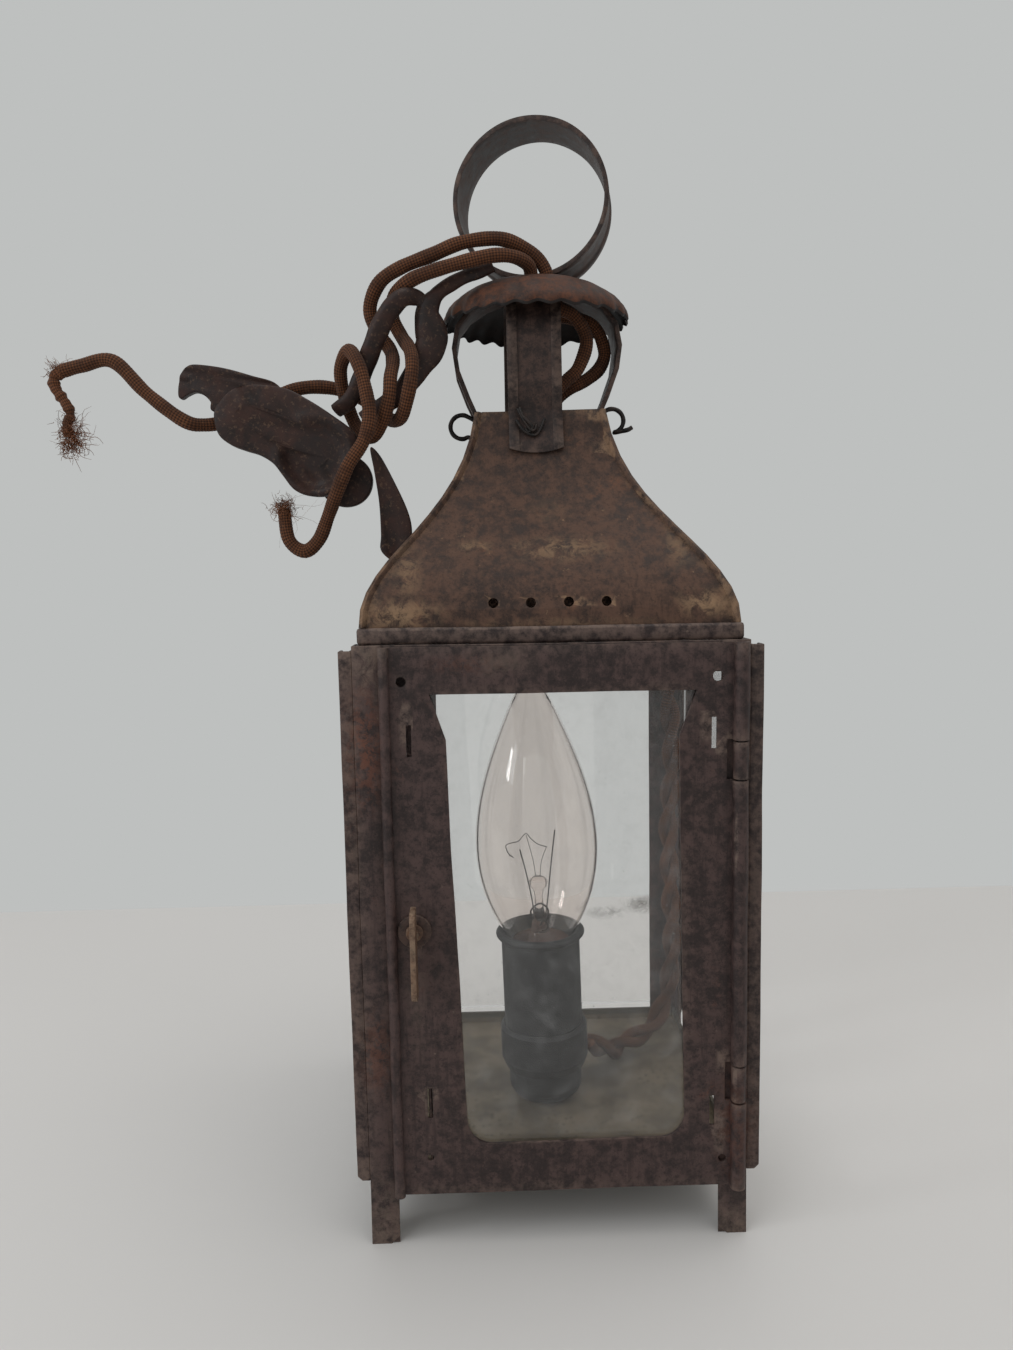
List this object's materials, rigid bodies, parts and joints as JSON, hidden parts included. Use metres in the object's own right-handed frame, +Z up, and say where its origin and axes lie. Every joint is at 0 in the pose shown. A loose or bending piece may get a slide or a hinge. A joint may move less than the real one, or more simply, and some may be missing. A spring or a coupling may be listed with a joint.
{
  "type": "hanging lantern",
  "caption": "Square tinplate lantern with a hinged glass door, ogee roof, vented crown, carrying ring and an electric candle lamp on braided flex.",
  "frame": {"origin": "centre of the footprint of the four feet, on the plane they stand on", "axes": "+Z up through the ring, -Y out of the front, where the door is, +X to the right of someone facing the door"},
  "size_m": [0.1736, 0.1065, 0.2841],
  "materials": {
    "body_tin": "aged tinplate, dark brown patina with rust bloom",
    "roof_tin": "aged tinplate, mottled brown with pale oxide and rust",
    "strip_tin": "ribbed tinplate strip, dark patina",
    "cap_rust": "rusted sheet, orange brown at the rim",
    "galvanised_floor": "dull galvanised sheet with dark pitting",
    "iron_wire": "blackened iron wire",
    "latch_rust": "bare rusted sheet",
    "rivet_steel": "dull oxidised steel",
    "window_glass": "clear old window glass, dusty",
    "bulb_glass": "clear lamp glass, faintly smoked",
    "lead_wire": "thin lamp wire",
    "socket_brass": "dull brass",
    "holder_enamel": "matt charcoal, dusty",
    "braided_cotton": "brown braided cotton over rubber",
    "old_leather": "dark dried leather, smooth with cracks"
  },
  "bodies": {
    "root": {"corner_post_front_left": "body_tin", "corner_post_front_right": "body_tin", "corner_post_rear_left": "body_tin", "corner_post_rear_right": "body_tin", "base_pan": "galvanised_floor", "head_band": "body_tin", "eave_band": "roof_tin", "glass_channel_left_front": "body_tin", "glass_channel_left_rear": "body_tin", "glass_channel_right_front": "body_tin", "glass_channel_right_rear": "body_tin", "glass_channel_rear_left": "body_tin", "glass_channel_rear_right": "body_tin", "glass_pane_left": "window_glass", "glass_pane_right": "window_glass", "glass_pane_rear": "window_glass", "roof_front": "roof_tin", "roof_rear": "roof_tin", "roof_left": "roof_tin", "roof_right": "roof_tin", "roof_seam_front_left": "roof_tin", "roof_seam_front_right": "roof_tin", "roof_seam_rear_left": "roof_tin", "roof_seam_rear_right": "roof_tin", "stirrup_front_rear": "strip_tin", "stirrup_left_right": "strip_tin", "wire_tie_front": "iron_wire", "wire_tie_rear": "iron_wire", "wire_loop_left": "iron_wire", "wire_loop_right": "iron_wire", "smoke_cap": "cap_rust", "crown_rivet": "rivet_steel", "hinge_wire": "iron_wire", "hinge_knuckle_upper": "body_tin", "hinge_knuckle_lower": "body_tin", "holder_base": "holder_enamel", "holder_collar": "holder_enamel", "candle_sleeve": "holder_enamel", "socket_insert": "socket_brass", "holder_screw": "rivet_steel", "flex_pair_inner": "braided_cotton", "flex_upper": "braided_cotton", "flex_lower": "braided_cotton", "tie_strap_long": "old_leather", "tie_strap_short": "old_leather", "tie_strap_pads": "old_leather", "tie_strap_tails": "old_leather"},
    "ring": {"carrying_ring": "strip_tin"},
    "door": {"door_frame": "body_tin", "door_glass": "window_glass", "door_glass_channel_left": "body_tin", "door_glass_channel_right": "body_tin", "door_glass_sill": "body_tin", "latch_washer": "body_tin"},
    "latch": {"latch_turn": "latch_rust", "latch_tongue": "body_tin"},
    "bulb": {"bulb_glass": "bulb_glass", "bulb_cap": "socket_brass", "bulb_stem": "bulb_glass", "bulb_leads": "lead_wire"}
  },
  "joints": [
    {"name": "door_swing", "type": "hinge", "parent": "root", "child": "door", "pos_m": [0.0442, -0.0493, 0], "axis": [0, 0, 1], "range_deg": [0, 150]},
    {"name": "latch_turn", "type": "hinge", "parent": "door", "child": "latch", "pos_m": [-0.034, -0.0482, 0.0815], "axis": [0, 1, 0], "range_deg": [0, 90]},
    {"name": "bulb_screw", "type": "hinge", "parent": "root", "child": "bulb", "pos_m": [-0.00123, 0, 0.05019], "axis": [-0.0227, 0, 0.9997], "continuous": true},
    {"name": "ring_swivel", "type": "hinge", "parent": "root", "child": "ring", "pos_m": [0, 0, 0.245], "axis": [0, 0, 1], "range_deg": [-10, 15]}
  ]
}
